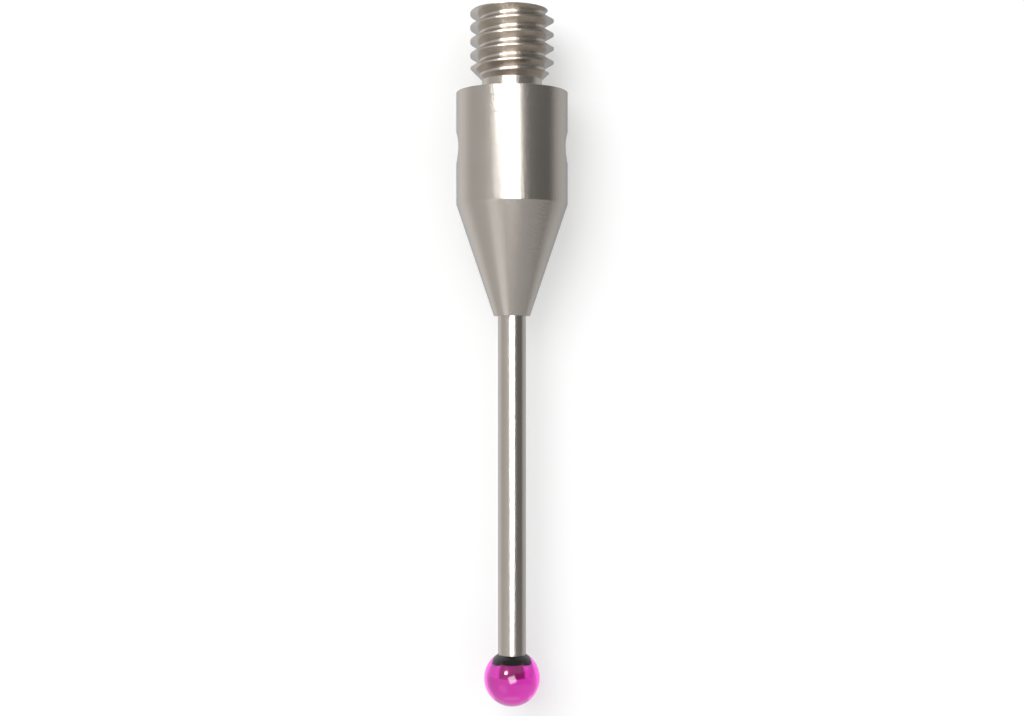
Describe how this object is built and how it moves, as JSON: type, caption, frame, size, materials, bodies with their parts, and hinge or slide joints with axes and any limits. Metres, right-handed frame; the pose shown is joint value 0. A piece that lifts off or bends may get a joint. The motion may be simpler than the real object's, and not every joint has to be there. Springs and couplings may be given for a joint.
{
  "type": "cmm stylus",
  "caption": "Straight measuring stylus: a turned steel holder with a threaded stud, cross hole and cone, a thin carbide stem and a ruby ball at its tip",
  "frame": {"origin": "centre of the flat seat face, where the threaded stud leaves the body", "axes": "+Z is the stylus axis from the seat up through the stud, with the ball below on -Z; X is along the cross hole"},
  "size_m": [0.004, 0.004, 0.0249],
  "materials": {
    "stainless_steel": "fine turned",
    "tungsten_carbide": "ground",
    "ruby": "polished"
  },
  "bodies": {
    "root": {"holder": "stainless_steel", "stem": "tungsten_carbide", "ball": "ruby"}
  },
  "joints": []
}
